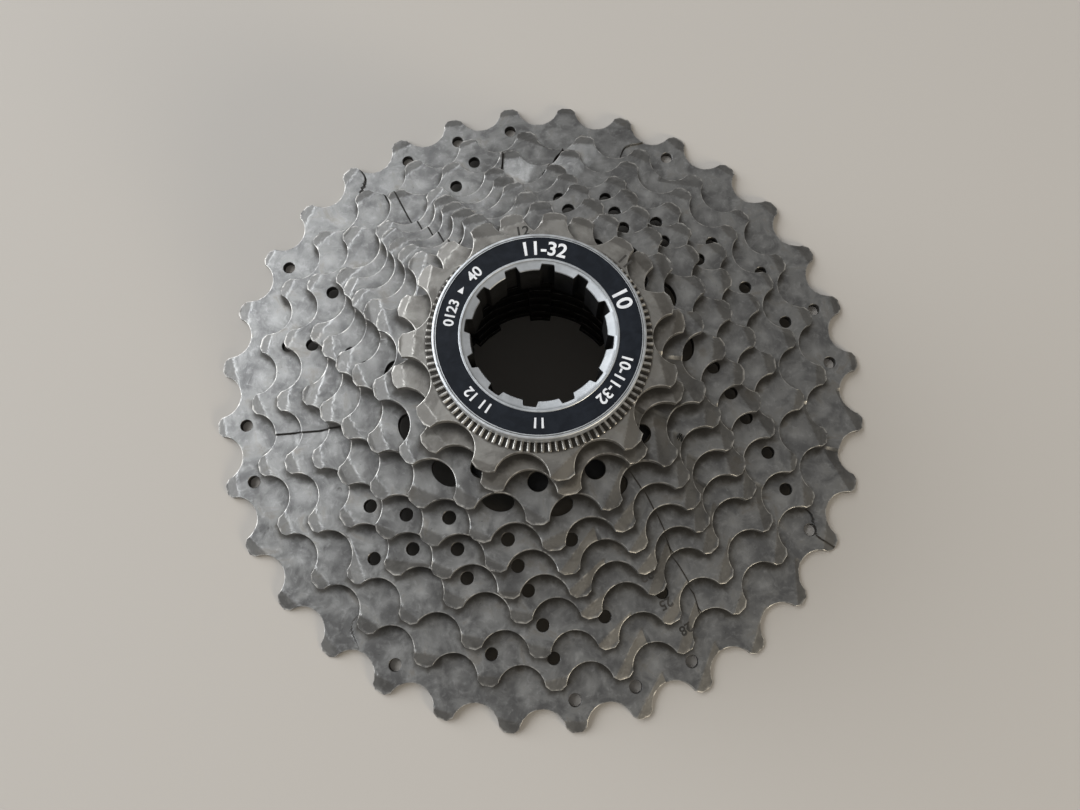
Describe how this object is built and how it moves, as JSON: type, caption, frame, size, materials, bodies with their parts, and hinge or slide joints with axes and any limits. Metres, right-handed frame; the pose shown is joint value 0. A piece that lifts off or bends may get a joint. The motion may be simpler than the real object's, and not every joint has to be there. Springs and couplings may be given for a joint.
{
  "type": "cassette sprocket",
  "caption": "Bicycle cassette: a cone of toothed steel sprockets on a splined bore, pinned with resin spacers and closed by a threaded lock ring.",
  "frame": {"origin": "on the axis of the bore, at the underside of the 32 tooth sprocket", "axes": "+Z along the bore from the largest sprocket to the lock ring; +X and +Y lie in the sprocket's plane"},
  "size_m": [0.1306, 0.1306, 0.041],
  "materials": {
    "plated_steel": "worn nickel plate, oily",
    "bright_plated_steel": "worn nickel plate, brighter",
    "black_resin": "moulded",
    "rivet_steel": "plain",
    "washer_steel": "plain",
    "lock_ring_steel": "bright rim with a dark satin band"
  },
  "bodies": {
    "pinned_stack": {"sprocket_32t": "plated_steel", "sprocket_28t": "plated_steel", "sprocket_25t": "plated_steel", "sprocket_22t": "plated_steel", "sprocket_20t": "plated_steel", "sprocket_18t": "plated_steel", "sprocket_16t": "plated_steel", "spacer_32_28": "black_resin", "spacer_28_25": "black_resin", "spacer_25_22": "black_resin", "spacer_22_20": "black_resin", "spacer_20_18": "black_resin", "spacer_18_16": "black_resin", "rivet_1": "rivet_steel", "rivet_2": "rivet_steel", "rivet_3": "rivet_steel"},
    "loose_spacer": {"spacer_16_14": "black_resin"},
    "sprocket_14t_body": {"sprocket_14t": "plated_steel"},
    "sprocket_12t_body": {"sprocket_12t": "bright_plated_steel"},
    "sprocket_11t_body": {"sprocket_11t": "bright_plated_steel"},
    "washer_body": {"lock_washer": "washer_steel"},
    "lock_ring_body": {"lock_ring": "lock_ring_steel"}
  },
  "joints": [
    {"name": "spacer_16_14_lift", "type": "slide", "parent": "pinned_stack", "child": "loose_spacer", "axis": [0, 0, 1], "range_m": [0, 0.01]},
    {"name": "sprocket_14t_lift", "type": "slide", "parent": "loose_spacer", "child": "sprocket_14t_body", "axis": [0, 0, 1], "range_m": [0, 0.01]},
    {"name": "sprocket_12t_lift", "type": "slide", "parent": "sprocket_14t_body", "child": "sprocket_12t_body", "axis": [0, 0, 1], "range_m": [0, 0.01]},
    {"name": "sprocket_11t_lift", "type": "slide", "parent": "sprocket_12t_body", "child": "sprocket_11t_body", "axis": [0, 0, 1], "range_m": [0, 0.01]},
    {"name": "lock_ring_lift", "type": "slide", "parent": "sprocket_11t_body", "child": "washer_body", "axis": [0, 0, 1], "range_m": [0, 0.0056]},
    {"name": "lock_ring_turn", "type": "hinge", "parent": "washer_body", "child": "lock_ring_body", "pos_m": [0, 0, 0.0379], "axis": [0, 0, 1], "range_deg": [0, 1872]}
  ],
  "couplings": [
    {"joint": "lock_ring_lift", "follows": "lock_ring_turn", "m_per_rad": 0.00016844}
  ]
}
